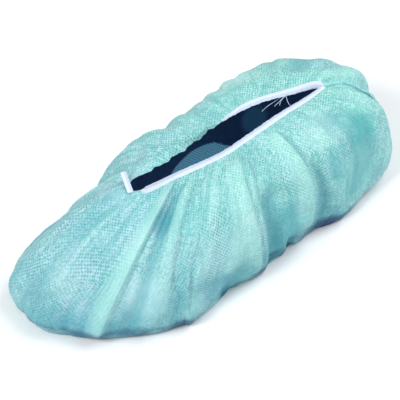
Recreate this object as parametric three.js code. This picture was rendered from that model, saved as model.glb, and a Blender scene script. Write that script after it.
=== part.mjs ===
// A disposable shoe cover, standing open on its flattened sole.
// One hollow shell of thin nonwoven fabric has a long slit on top for the foot. White elastic tape is
// sewn round the slit, a short bar of it crosses the slit's toe end, and a raised seam runs down the heel.
// Millimetres, +Z up, toe towards -X, heel towards +X, sole on z = 0.
import * as THREE from "three";

// Sizes of the fabric shell
const LENGTH = 352;
const WIDTH = 146;
const HEIGHT = 98;
const WALL = 1.2;
const FOLD_DEPTH = 5;
const HEM_WIDTH = 12;
const HEM_RISE = 3.6;

// Sizes of the tape, the bar and the seam
const TAPE_WIDTH = 5;
const TAPE_THICK = 0.9;
const TAPE_OVERHANG = 0.4;
const BAR_WIDTH = 4.6;
const SEAM_WIDTH = 2.6;
const SEAM_THICK = 1.3;
const GAP = 0.3;
const SEAT_CLEAR = 0.70;

// How finely the shell is faceted
const COLUMNS = 78;
const BANDS = 17;
const BAND_EASE = 0.72;
const CLOSEST_COLUMNS = 0.003;
const FADE = 0.14;
const PROBE = 0.001;

// The slit's edge, from its rear end along the near side to the bar and back along the far side:
// along is a share of the length from the toe, across of the width, lift of the height.
const RIM = [
  { at: "rear_end", along: 0.850, across: 0.012, lift: 0.905 },
  { at: "near_rear", along: 0.790, across: -0.008, lift: 0.925 },
  { at: "near_ankle", along: 0.710, across: -0.026, lift: 0.940 },
  { at: "near_middle", along: 0.620, across: -0.052, lift: 0.950 },
  { at: "near_waist", along: 0.535, across: -0.070, lift: 0.955 },
  { at: "near_front", along: 0.435, across: -0.045, lift: 0.955 },
  { at: "bar_near", along: 0.322, across: -0.012, lift: 0.955 },
  { at: "bar_far", along: 0.330, across: 0.060, lift: 0.965 },
  { at: "far_front", along: 0.400, across: 0.055, lift: 0.965 },
  { at: "far_waist", along: 0.500, across: 0.074, lift: 0.965 },
  { at: "far_middle", along: 0.600, across: 0.112, lift: 0.965 },
  { at: "far_ankle", along: 0.700, across: 0.104, lift: 0.955 },
  { at: "far_rear", along: 0.790, across: 0.058, lift: 0.930 },
];
const RIM_TOE_ROW = 6.5;

// The line where the wall meets the floor, in the same sense. full is how round the wall above it is,
// from 0, a lean slope, to 1, a puffed side.
const GROUND = [
  { at: "heel", along: 1.004, across: -0.060, full: 0.90 },
  { at: "near_heel", along: 0.965, across: -0.290, full: 1.00 },
  { at: "near_rear", along: 0.815, across: -0.460, full: 0.95 },
  { at: "near_ankle", along: 0.690, across: -0.410, full: 0.80 },
  { at: "near_waist", along: 0.550, across: -0.450, full: 0.85 },
  { at: "near_ball", along: 0.400, across: -0.515, full: 0.80 },
  { at: "near_front", along: 0.250, across: -0.460, full: 0.55 },
  { at: "near_toe", along: 0.120, across: -0.285, full: 0.50 },
  { at: "near_tip", along: 0.046, across: -0.070, full: 0.45 },
  { at: "tip", along: 0.018, across: 0.100, full: 0.50 },
  { at: "far_tip", along: 0.035, across: 0.250, full: 0.38 },
  { at: "far_toe", along: 0.110, across: 0.370, full: 0.25 },
  { at: "far_front", along: 0.250, across: 0.440, full: 0.30 },
  { at: "far_ball", along: 0.400, across: 0.485, full: 0.70 },
  { at: "far_waist", along: 0.550, across: 0.450, full: 0.75 },
  { at: "far_ankle", along: 0.700, across: 0.515, full: 0.90 },
  { at: "far_rear", along: 0.850, across: 0.485, full: 1.00 },
  { at: "far_heel", along: 0.950, across: 0.275, full: 1.10 },
];
const GROUND_TOE_ROW = 9;

// The wall from the slit's edge, down 0, to the floor, down 1: how far out it has come as a share of the
// way to the ground line, and how far it has dropped as a share of the edge's height.
const WALL_CURVE = [
  { down: 0.00, fullOut: 0.00, fullDrop: 0.000, leanOut: 0.00, leanDrop: 0.000 },
  { down: 0.08, fullOut: 0.12, fullDrop: -0.020, leanOut: 0.08, leanDrop: 0.030 },
  { down: 0.20, fullOut: 0.42, fullDrop: -0.010, leanOut: 0.22, leanDrop: 0.130 },
  { down: 0.34, fullOut: 0.78, fullDrop: 0.100, leanOut: 0.42, leanDrop: 0.290 },
  { down: 0.48, fullOut: 0.96, fullDrop: 0.300, leanOut: 0.64, leanDrop: 0.460 },
  { down: 0.62, fullOut: 1.02, fullDrop: 0.550, leanOut: 0.85, leanDrop: 0.640 },
  { down: 0.76, fullOut: 1.01, fullDrop: 0.800, leanOut: 0.97, leanDrop: 0.820 },
  { down: 0.88, fullOut: 0.93, fullDrop: 0.970, leanOut: 0.96, leanDrop: 0.970 },
  { down: 1.00, fullOut: 0.81, fullDrop: 1.000, leanOut: 0.88, leanDrop: 1.000 },
];

// Folds, which run from the slit's edge to the floor: rim and ground are shares round the loop, 0 at the
// heel, 0.5 at the toe; from and to say how far down it shows; before and after are the widths of its two
// flanks as shares of the loop; rise is its height as a share of the fold depth, below 0 for a hollow.
const FOLDS = [
  { name: "heel_line", rim: 0.000, ground: 0.030, from: 0.04, to: 0.95,
    before: 0.008, after: 0.008, rise: 0.20 },
  { name: "heel_hollow", rim: 0.082, ground: 0.130, from: 0.12, to: 0.80,
    before: 0.040, after: 0.035, rise: -0.80 },
  { name: "rear_hollow", rim: 0.150, ground: 0.152, from: 0.34, to: 0.92,
    before: 0.018, after: 0.012, rise: -0.70 },
  { name: "rear_ridge", rim: 0.170, ground: 0.168, from: 0.06, to: 0.97,
    before: 0.010, after: 0.030, rise: 0.80 },
  { name: "ankle_tuck", rim: 0.190, ground: 0.194, from: 0.66, to: 1.00,
    before: 0.010, after: 0.010, rise: -1.00 },
  { name: "ankle_hollow", rim: 0.222, ground: 0.222, from: 0.30, to: 0.98,
    before: 0.026, after: 0.016, rise: -1.10 },
  { name: "waist_ridge", rim: 0.257, ground: 0.243, from: 0.06, to: 0.97,
    before: 0.012, after: 0.024, rise: 0.90 },
  { name: "waist_tuck", rim: 0.279, ground: 0.285, from: 0.64, to: 1.00,
    before: 0.010, after: 0.010, rise: -0.90 },
  { name: "middle_ridge", rim: 0.296, ground: 0.330, from: 0.06, to: 0.90,
    before: 0.016, after: 0.018, rise: 0.50 },
  { name: "ball_tuck", rim: 0.328, ground: 0.352, from: 0.62, to: 1.00,
    before: 0.012, after: 0.012, rise: -0.80 },
  { name: "ball_ridge", rim: 0.355, ground: 0.378, from: 0.06, to: 0.96,
    before: 0.020, after: 0.008, rise: 0.60 },
  { name: "pleat", rim: 0.378, ground: 0.425, from: 0.05, to: 0.98,
    before: 0.005, after: 0.026, rise: 0.80 },
  { name: "toe_near_hollow", rim: 0.430, ground: 0.455, from: 0.12, to: 0.95,
    before: 0.014, after: 0.014, rise: -0.35 },
  { name: "toe_near_ridge", rim: 0.458, ground: 0.476, from: 0.08, to: 0.85,
    before: 0.014, after: 0.012, rise: 0.35 },
  { name: "toe_hollow", rim: 0.486, ground: 0.500, from: 0.10, to: 0.90,
    before: 0.012, after: 0.012, rise: -0.50 },
  { name: "toe_far_ridge", rim: 0.508, ground: 0.526, from: 0.08, to: 0.80,
    before: 0.012, after: 0.014, rise: 0.40 },
  { name: "far_valley", rim: 0.566, ground: 0.590, from: 0.20, to: 0.90,
    before: 0.020, after: 0.016, rise: -0.70 },
  { name: "far_ball_ridge", rim: 0.602, ground: 0.626, from: 0.16, to: 0.92,
    before: 0.016, after: 0.022, rise: 0.80 },
  { name: "far_ball_tuck", rim: 0.644, ground: 0.660, from: 0.50, to: 1.00,
    before: 0.014, after: 0.012, rise: -0.90 },
  { name: "far_waist_ridge", rim: 0.690, ground: 0.694, from: 0.16, to: 0.94,
    before: 0.022, after: 0.014, rise: 0.40 },
  { name: "far_waist_hollow", rim: 0.728, ground: 0.724, from: 0.24, to: 0.98,
    before: 0.018, after: 0.016, rise: -0.90 },
  { name: "far_ankle_ridge", rim: 0.770, ground: 0.762, from: 0.08, to: 0.94,
    before: 0.020, after: 0.024, rise: 0.40 },
  { name: "far_ankle_tuck", rim: 0.812, ground: 0.808, from: 0.40, to: 1.00,
    before: 0.014, after: 0.014, rise: -0.80 },
  { name: "far_rear_ridge", rim: 0.856, ground: 0.856, from: 0.10, to: 0.94,
    before: 0.024, after: 0.018, rise: 0.30 },
  { name: "far_heel_hollow", rim: 0.910, ground: 0.926, from: 0.16, to: 0.90,
    before: 0.024, after: 0.020, rise: -0.50 },
  { name: "far_heel_ridge", rim: 0.940, ground: 0.950, from: 0.06, to: 0.90,
    before: 0.024, after: 0.018, rise: 1.00 },
];

// The far stretch where the fabric's edge is rolled over the tape: share is round the loop, width is the
// roll's breadth as a share of HEM_WIDTH, and rise is its height as a share of HEM_RISE.
const HEM = [
  { at: "beyond_bar", share: 0.540, width: 3.00, rise: 0.0 },
  { at: "beside_bar", share: 0.580, width: 2.30, rise: 0.8 },
  { at: "front", share: 0.615, width: 1.80, rise: 1.0 },
  { at: "waist", share: 0.650, width: 1.20, rise: 1.0 },
  { at: "middle", share: 0.690, width: 0.60, rise: 0.9 },
  { at: "thin", share: 0.725, width: 0.45, rise: 0.7 },
  { at: "end", share: 0.755, width: 0.40, rise: 0.0 },
];

// The two ends of the bar's rear edge, across the slit's toe end. It is raised until it clears the fabric.
const BAR = [
  { at: "near", along: 0.313, across: -0.012, lift: 0.940 },
  { at: "far", along: 0.328, across: 0.102, lift: 1.000 },
];

// Shares round the loop where the binding starts beside the bar and where it slips under the roll, and the
// share of the wall's height that the seam runs down
const BINDING_STARTS = 0.463;
const BINDING_ENDS = -0.238;
const SEAM_ENDS = 0.86;

const FABRIC = new THREE.MeshStandardMaterial({ color: 0x9ed8d8, roughness: 0.85, metalness: 0 });
const SEAM_FABRIC = new THREE.MeshStandardMaterial({ color: 0x93cfd2, roughness: 0.85, metalness: 0 });
const TAPE = new THREE.MeshStandardMaterial({ color: 0xe6effb, roughness: 0.7, metalness: 0 });

const mix = THREE.MathUtils.lerp;
const smooth = THREE.MathUtils.smoothstep;
const wrap = (share) => ((share % 1) + 1) % 1;

// One column of a closed table, at a place counted in rows.
function around(rows, column, place) {
  const row = Math.floor(place);
  const t = place - row;
  const value = (step) => rows[(row + step + rows.length * 2) % rows.length][column];
  const [a, b, c, d] = [value(-1), value(0), value(1), value(2)];
  const bend = (2 * a - 5 * b + 4 * c - d) * t * t + (3 * b - a - 3 * c + d) * t * t * t;
  return (2 * b + (c - a) * t + bend) / 2;
}

// Turns a share round a loop into a place in its table. The near half and the far half are each
// walked at an even pace in plan, so that 0 is always the heel and 0.5 always the toe.
function pacing(rows, toeRow) {
  const stepsPerRow = 40;
  const last = rows.length * stepsPerRow;
  const toeStep = Math.round(toeRow * stepsPerRow);
  const walked = [0];
  const plan = (step) => new THREE.Vector2(
    around(rows, "along", step / stepsPerRow) * LENGTH,
    around(rows, "across", step / stepsPerRow) * WIDTH,
  );
  for (let step = 1; step <= last; step += 1) {
    walked.push(walked[step - 1] + plan(step).distanceTo(plan(step - 1)));
  }
  return (share) => {
    const u = wrap(share);
    const [start, end] = u < 0.5 ? [0, toeStep] : [toeStep, last];
    const target = mix(walked[start], walked[end], u < 0.5 ? u * 2 : u * 2 - 1);
    let low = start;
    let high = end;
    while (high - low > 1) {
      const middle = (low + high) >> 1;
      if (walked[middle] <= target) low = middle;
      else high = middle;
    }
    return (low + (target - walked[low]) / (walked[high] - walked[low])) / stepsPerRow;
  };
}

const rimPlace = pacing(RIM, RIM_TOE_ROW);
const groundPlace = pacing(GROUND, GROUND_TOE_ROW);

// One column of the wall's curve, as a smooth line through its rows.
function curveAt(column, down) {
  const rows = WALL_CURVE;
  const last = rows.length - 1;
  const row = Math.min(rows.findLastIndex((entry) => entry.down <= down), last - 1);
  const slope = (at) => {
    const [before, after] = [rows[Math.max(at - 1, 0)], rows[Math.min(at + 1, last)]];
    return (after[column] - before[column]) / (after.down - before.down);
  };
  const span = rows[row + 1].down - rows[row].down;
  const t = (down - rows[row].down) / span;
  const ends = mix(rows[row][column], rows[row + 1][column], t * t * (3 - 2 * t));
  return ends + span * t * (1 - t) * ((1 - t) * slope(row) - t * slope(row + 1));
}

// The smooth wall, before its folds.
function wall(share, down) {
  const rim = rimPlace(share);
  const ground = groundPlace(share);
  const full = around(GROUND, "full", ground);
  const out = mix(curveAt("leanOut", down), curveAt("fullOut", down), full);
  const drop = mix(curveAt("leanDrop", down), curveAt("fullDrop", down), full);
  return new THREE.Vector3(
    mix(around(RIM, "along", rim), around(GROUND, "along", ground), out) * LENGTH - LENGTH / 2,
    mix(around(RIM, "across", rim), around(GROUND, "across", ground), out) * WIDTH,
    around(RIM, "lift", rim) * HEIGHT * (1 - drop),
  );
}

// Folds drift round the loop as they go down, and the columns between them drift with them.
function drifted(column, down) {
  const home = wrap(column);
  const after = FOLDS.find((fold) => fold.rim > home) ?? { ...FOLDS[0], rim: 1, ground: 1 + FOLDS[0].ground };
  const before = FOLDS.findLast((fold) => fold.rim <= home);
  const t = (home - before.rim) / (after.rim - before.rim);
  const shift = mix(before.ground - before.rim, after.ground - after.rim, t);
  return column + shift * down;
}

// How far a fold lifts the fabric at a column: one flank on each side of its crest.
function foldRise(fold, column, down) {
  const offset = wrap(column - fold.rim + 0.5) - 0.5;
  const reach = Math.abs(offset) / (offset < 0 ? fold.before : fold.after);
  if (reach >= 1) return 0;
  const shows = smooth(down, fold.from, fold.from + FADE) * (1 - smooth(down, fold.to - FADE, fold.to));
  return fold.rise * FOLD_DEPTH * shows * (1 + Math.cos(Math.PI * reach)) / 2;
}

// The rolled edge stands up from the slit, runs level and drops behind its crest.
function hemRise(column, distance) {
  const share = wrap(column);
  const next = HEM.findIndex((row) => row.share > share);
  if (next < 1) return 0;
  const [from, to] = [HEM[next - 1], HEM[next]];
  const t = (share - from.share) / (to.share - from.share);
  const across = distance / (HEM_WIDTH * mix(from.width, to.width, t));
  const rise = HEM_RISE * mix(from.rise, to.rise, t * t * (3 - 2 * t));
  return rise * smooth(across, 0, 0.35) * (1 - smooth(across, 0.85, 1.3));
}

function wallNormal(share, down) {
  const above = Math.max(down - PROBE, 0);
  const below = Math.min(down + PROBE, 1);
  const round = wall(share + PROBE, down).sub(wall(share - PROBE, down));
  const fall = wall(share, below).sub(wall(share, above));
  return round.cross(fall).normalize();
}

// The fabric's outer face, with its folds and its rolled edge, and pressed flat where it meets the floor.
function fabric(column, down) {
  const share = drifted(column, down);
  const point = wall(share, down);
  const folds = FOLDS.reduce((sum, fold) => sum + foldRise(fold, column, down), 0);
  const lift = folds + hemRise(column, point.distanceTo(wall(share, 0)));
  point.addScaledVector(wallNormal(share, down), lift * (1 - smooth(down, 0.95, 1)));
  return point.setZ(Math.max(point.z, 0));
}

// Columns stand at each fold's crest and feet, and evenly between them.
function columnShares() {
  const keys = FOLDS.flatMap((fold) => [fold.rim - fold.before, fold.rim, fold.rim + fold.after]);
  const sorted = keys.map(wrap).sort((a, b) => a - b);
  const kept = sorted.filter((share, i) => i === 0 || share - sorted[i - 1] > CLOSEST_COLUMNS);
  return kept.flatMap((share, i) => {
    const next = i + 1 < kept.length ? kept[i + 1] : kept[0] + 1;
    const parts = Math.ceil((next - share) * COLUMNS);
    return Array.from({ length: parts }, (_, k) => mix(share, next, k / parts));
  });
}

// Rows lie closer at the slit and at the floor.
function rowShares() {
  return Array.from({ length: BANDS + 1 }, (_, row) => {
    const t = row / BANDS;
    return t - BAND_EASE * Math.sin(2 * Math.PI * t) / (2 * Math.PI);
  });
}

const columns = columnShares();
const rows = rowShares();

function meshOf(name, material, points, faces) {
  const geometry = new THREE.BufferGeometry();
  geometry.setAttribute("position", new THREE.Float32BufferAttribute(points.flatMap((p) => p.toArray()), 3));
  geometry.setIndex(faces.flat());
  geometry.computeVertexNormals();
  const mesh = new THREE.Mesh(geometry, material);
  mesh.name = name;
  return mesh;
}

// Normals of the folded face, from the points around each one.
function gridNormals(grid) {
  const count = columns.length;
  return grid.map((row, r) => row.map((_, c) => {
    const round = row[(c + 1) % count].clone().sub(row[(c + count - 1) % count]);
    const fall = grid[Math.min(r + 1, BANDS)][c].clone().sub(grid[Math.max(r - 1, 0)][c]);
    return round.cross(fall).normalize();
  }));
}

// The shell: the folded outer face, the same face one wall further in, and a flat sole and floor.
function coverBody() {
  const outer = rows.map((down) => columns.map((column) => fabric(column, down)));
  const normals = gridNormals(outer);
  const inner = outer.map((row, r) => row.map((point, c) => {
    const inside = point.clone().addScaledVector(normals[r][c], -WALL);
    inside.z = r === BANDS ? WALL : Math.max(inside.z, WALL);
    return inside;
  }));
  const count = columns.length;
  const layer = count * rows.length;
  const faces = [];
  for (let r = 0; r < BANDS; r += 1) {
    for (let c = 0; c < count; c += 1) {
      const [a, b] = [r * count + c, r * count + (c + 1) % count];
      const [d, e] = [a + count, b + count];
      faces.push([a, b, e], [a, e, d]);
      faces.push([layer + a, layer + e, layer + b], [layer + a, layer + d, layer + e]);
    }
  }
  for (let c = 0; c < count; c += 1) {
    const next = (c + 1) % count;
    faces.push([c, layer + next, next], [c, layer + c, layer + next]);
  }
  const floorStart = BANDS * count;
  const ends = [
    { row: outer[BANDS], offset: floorStart, faceUp: false },
    { row: inner[BANDS], offset: layer + floorStart, faceUp: true },
  ];
  for (const { row, offset, faceUp } of ends) {
    const corners = row.map((point) => new THREE.Vector2(point.x, point.y));
    for (const [a, b, c] of THREE.ShapeUtils.triangulateShape(corners, [])) {
      const turn = corners[b].clone().sub(corners[a]).cross(corners[c].clone().sub(corners[a]));
      const upright = (turn > 0) === faceUp;
      faces.push(upright ? [offset + a, offset + b, offset + c] : [offset + a, offset + c, offset + b]);
    }
  }
  return meshOf("cover_body", FABRIC, [...outer.flat(), ...inner.flat()], faces);
}

// A flat band with rounded edges along stations that each give a place, a way across and a way up.
function band(name, material, stations, width, thick) {
  const edge = thick / 2;
  const section = [
    [0, thick * 0.3], [edge, 0], [width - edge, 0], [width, thick * 0.3],
    [width, thick * 0.7], [width - edge, thick], [edge, thick], [0, thick * 0.7],
  ];
  const size = section.length;
  const points = stations.flatMap(({ place, across, up }) => section.map(([s, t]) => (
    place.clone().addScaledVector(across, s).addScaledVector(up, t)
  )));
  const faces = [];
  for (let station = 0; station + 1 < stations.length; station += 1) {
    for (let corner = 0; corner < size; corner += 1) {
      const [a, b] = [station * size + corner, station * size + (corner + 1) % size];
      faces.push([a, b, b + size], [a, b + size, a + size]);
    }
  }
  const end = (stations.length - 1) * size;
  for (let corner = 1; corner + 1 < size; corner += 1) {
    faces.push([0, corner + 1, corner], [end, end + corner, end + corner + 1]);
  }
  const along = stations[1].place.clone().sub(stations[0].place);
  const turnsOut = along.dot(stations[0].across.clone().cross(stations[0].up)) > 0;
  const outward = turnsOut ? faces : faces.map(([a, b, c]) => [a, c, b]);
  return meshOf(name, material, points, outward);
}

// The ways across and up at a point of the slit's edge, both square to the edge itself.
function rimFrame(before, point, after, below) {
  const along = after.clone().sub(before).normalize();
  const across = below.clone().sub(point);
  across.addScaledVector(along, -across.dot(along)).normalize();
  const up = along.clone().cross(across);
  return { across, up: up.z < 0 ? up.negate() : up };
}

// The binding lies on the fabric all the way from the bar's near end round the rear end of the slit.
function elasticBinding() {
  const inside = columns.flatMap((share) => [share - 1, share]);
  const taped = inside.filter((share) => share < BINDING_STARTS && share > BINDING_ENDS);
  const shares = taped.sort((a, b) => b - a);
  const edge = shares.map((share) => fabric(share, 0));
  const stations = shares.slice(1, -1).map((share, i) => {
    const point = edge[i + 1];
    const frame = rimFrame(edge[i], point, edge[i + 2], fabric(share, rows[1]));
    const place = point.clone().addScaledVector(frame.up, SEAT_CLEAR);
    place.addScaledVector(frame.across, -TAPE_OVERHANG);
    return { place, ...frame };
  });
  return band("elastic_binding", TAPE, stations, TAPE_WIDTH, TAPE_THICK);
}

// The bar lies straight across the slit's toe end, high enough to clear the fabric under it.
function frontTapeBar() {
  const [near, far] = BAR.map((end) => (
    new THREE.Vector3(end.along * LENGTH - LENGTH / 2, end.across * WIDTH, end.lift * HEIGHT)
  ));
  const towardsToe = near.clone().setX(near.x - BAR_WIDTH);
  const frame = rimFrame(near, near, far, towardsToe);
  const along = far.clone().sub(near).normalize();
  const span = far.distanceTo(near);
  const points = columns.flatMap((share) => rows.map((down) => fabric(share, down).sub(near)));
  const heights = points.filter((point) => (
    Math.abs(point.dot(along) - span / 2) < span / 2 + BAR_WIDTH
    && Math.abs(point.dot(frame.across) - BAR_WIDTH / 2) < BAR_WIDTH
  )).map((point) => point.dot(frame.up));
  const lift = frame.up.clone().multiplyScalar(Math.max(...heights) + GAP);
  const stations = [near, far].map((end) => ({ place: end.clone().add(lift), ...frame }));
  return band("front_tape_bar", TAPE, stations, BAR_WIDTH, TAPE_THICK);
}

// The seam follows the heel line over the shell's facets, from below the tape to just above the floor.
function heelSeam() {
  const downs = rows.filter((down) => down < SEAM_ENDS);
  const line = downs.map((down) => fabric(0, down));
  const ways = downs.map((down) => fabric(PROBE, down).sub(fabric(-PROBE, down)));
  const clear = TAPE_WIDTH + TAPE_THICK + GAP;
  const first = line.findIndex((point) => point.distanceTo(line[0]) > clear);
  const reached = line[first - 1].distanceTo(line[0]);
  const t = (clear - reached) / (line[first].distanceTo(line[0]) - reached);
  const points = [line[first - 1].clone().lerp(line[first], t), ...line.slice(first)];
  const stations = points.map((point, i) => {
    const [before, after] = [points[Math.max(i - 1, 0)], points[Math.min(i + 1, points.length - 1)]];
    const fall = after.clone().sub(before).normalize();
    const across = ways[first - 1 + i].clone();
    across.addScaledVector(fall, -across.dot(fall)).normalize();
    const up = across.clone().cross(fall).normalize();
    const place = point.clone().addScaledVector(up, SEAT_CLEAR).addScaledVector(across, -SEAM_WIDTH / 2);
    return { place, across, up };
  });
  return band("heel_seam", SEAM_FABRIC, stations, SEAM_WIDTH, SEAM_THICK);
}

const cover = new THREE.Group();
cover.add(coverBody(), elasticBinding(), frontTapeBar(), heelSeam());

// The origin is on the floor under the middle of the cover.
const reach = new THREE.Box3().setFromObject(cover);
const middle = reach.getCenter(new THREE.Vector3());
cover.children.forEach((mesh) => mesh.geometry.translate(-middle.x, -middle.y, -reach.min.z));

export default cover;
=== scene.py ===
# A disposable shoe cover of thin nonwoven fabric, standing open on its sole.
import math

import bpy
import numpy as np
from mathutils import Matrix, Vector


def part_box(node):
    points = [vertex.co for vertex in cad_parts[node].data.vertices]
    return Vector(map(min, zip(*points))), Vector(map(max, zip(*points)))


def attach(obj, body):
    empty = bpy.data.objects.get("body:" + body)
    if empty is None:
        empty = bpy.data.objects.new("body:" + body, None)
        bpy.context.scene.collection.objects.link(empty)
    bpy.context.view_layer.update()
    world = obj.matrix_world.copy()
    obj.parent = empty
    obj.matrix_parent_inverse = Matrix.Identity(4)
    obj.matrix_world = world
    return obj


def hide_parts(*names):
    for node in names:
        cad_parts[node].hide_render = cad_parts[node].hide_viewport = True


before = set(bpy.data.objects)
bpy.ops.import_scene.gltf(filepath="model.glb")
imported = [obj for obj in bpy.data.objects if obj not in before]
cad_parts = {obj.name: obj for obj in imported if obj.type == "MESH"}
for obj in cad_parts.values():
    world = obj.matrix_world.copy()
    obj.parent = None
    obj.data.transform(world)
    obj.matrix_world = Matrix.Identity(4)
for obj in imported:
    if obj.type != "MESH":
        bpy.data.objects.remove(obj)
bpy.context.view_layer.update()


# The viewpoint: from the toe's near side, looking down on the cover at 47 degrees with a long lens.
bpy.ops.object.camera_add()
camera = bpy.context.object
camera.name = "viewpoint"
camera.data.sensor_width = 36
camera.data.lens = 168.75
view_azimuth = math.radians(-38)
view_height = math.radians(47)
view_back = Vector((
    math.sin(view_azimuth) * math.cos(view_height),
    -math.cos(view_azimuth) * math.cos(view_height),
    math.sin(view_height),
))
camera.location = Vector((-0.0058, -0.0006, 0.040)) + view_back * 1.5
camera.rotation_euler = view_back.to_track_quat("Z", "Y").to_euler()
bpy.context.scene.camera = camera


# The cover's fabric: one thin sheet of bonded polypropylene fibre, sewn up like a sock. Elastic round the
# slit gathers it into folds, a knife pleat lies beside the toe, and the far edge is rolled over the tape.
cover_length = 0.352
cover_width = 0.146
cover_height = 0.098
fold_depth = 0.005
roll_width = 0.012
roll_rise = 0.0036
sheet_thickness = 0.0002
pleat_lift = 0.0017
wander_by = 0.0028
crumple_by = 0.0008

slit_toe_row = 6.5
slit_edge = [
    # along the foot, across it, height
    (0.852, 0.014, 0.905),
    (0.800, -0.009, 0.923),
    (0.710, -0.026, 0.940),
    (0.620, -0.052, 0.950),
    (0.535, -0.070, 0.955),
    (0.435, -0.045, 0.955),
    (0.322, -0.012, 0.955),
    (0.330, 0.060, 0.965),
    (0.400, 0.055, 0.965),
    (0.500, 0.074, 0.965),
    (0.600, 0.112, 0.965),
    (0.700, 0.104, 0.955),
    (0.790, 0.058, 0.930),
    (0.841, 0.037, 0.913),
]
sole_toe_row = 9
sole_line = [
    # along the foot, across it, how puffed the side above it is
    (1.001, -0.060, 0.90),
    (0.967, -0.273, 1.00),
    (0.806, -0.424, 0.88),
    (0.704, -0.401, 0.76),
    (0.550, -0.464, 0.85),
    (0.400, -0.484, 0.80),
    (0.250, -0.470, 0.55),
    (0.119, -0.288, 0.50),
    (0.040, -0.080, 0.45),
    (0.028, 0.100, 0.45),
    (0.041, 0.250, 0.34),
    (0.110, 0.358, 0.25),
    (0.250, 0.420, 0.30),
    (0.400, 0.485, 0.70),
    (0.550, 0.450, 0.75),
    (0.700, 0.498, 0.90),
    (0.850, 0.472, 0.95),
    (0.960, 0.284, 1.08),
]
side_curve = [
    # down the side, then out and down for a puffed side and for a leaning one
    (0.00, 0.00, 0.000, 0.00, 0.000),
    (0.08, 0.12, -0.020, 0.08, 0.030),
    (0.20, 0.42, -0.010, 0.22, 0.130),
    (0.34, 0.78, 0.100, 0.42, 0.290),
    (0.48, 0.96, 0.300, 0.64, 0.460),
    (0.62, 1.02, 0.550, 0.85, 0.640),
    (0.76, 1.01, 0.800, 0.97, 0.820),
    (0.88, 0.93, 0.970, 0.96, 0.970),
    (1.00, 0.81, 1.000, 0.88, 1.000),
]
folds = [
    # at the slit, at the sole, from, to, width before, width after, rise
    (0.000, 0.030, 0.04, 0.95, 0.008, 0.008, 0.20),
    (0.082, 0.130, 0.12, 0.80, 0.040, 0.035, -0.80),
    (0.150, 0.152, 0.34, 0.84, 0.018, 0.012, -0.60),
    (0.170, 0.168, 0.06, 0.80, 0.010, 0.030, 0.80),
    (0.190, 0.194, 0.66, 1.00, 0.014, 0.012, -1.10),
    (0.222, 0.222, 0.30, 0.98, 0.026, 0.016, -1.10),
    (0.257, 0.243, 0.06, 0.85, 0.012, 0.024, 0.90),
    (0.270, 0.272, 0.60, 1.00, 0.020, 0.012, -1.05),
    (0.296, 0.330, 0.06, 0.90, 0.016, 0.018, 0.50),
    (0.318, 0.340, 0.66, 1.00, 0.016, 0.014, 0.40),
    (0.355, 0.378, 0.06, 0.84, 0.020, 0.008, 0.60),
    (0.378, 0.425, 0.05, 0.88, 0.005, 0.026, 0.80),
    (0.430, 0.455, 0.12, 0.95, 0.014, 0.014, -0.35),
    (0.458, 0.476, 0.08, 0.85, 0.014, 0.012, 0.35),
    (0.486, 0.500, 0.10, 0.90, 0.012, 0.012, -0.50),
    (0.508, 0.526, 0.08, 0.80, 0.012, 0.014, 0.40),
    (0.566, 0.590, 0.20, 0.90, 0.020, 0.016, -0.70),
    (0.602, 0.626, 0.16, 0.92, 0.016, 0.022, 0.62),
    (0.644, 0.660, 0.50, 1.00, 0.014, 0.012, -0.90),
    (0.690, 0.694, 0.16, 0.94, 0.022, 0.014, 0.15),
    (0.728, 0.724, 0.24, 0.98, 0.018, 0.016, -0.35),
    (0.770, 0.762, 0.08, 0.94, 0.020, 0.024, 0.10),
    (0.812, 0.808, 0.24, 1.00, 0.014, 0.014, -0.70),
    (0.856, 0.856, 0.10, 0.94, 0.024, 0.018, -0.10),
    (0.920, 0.932, 0.12, 0.90, 0.030, 0.026, -0.75),
    (0.982, 0.988, 0.06, 0.90, 0.024, 0.014, 1.10),
]
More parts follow.
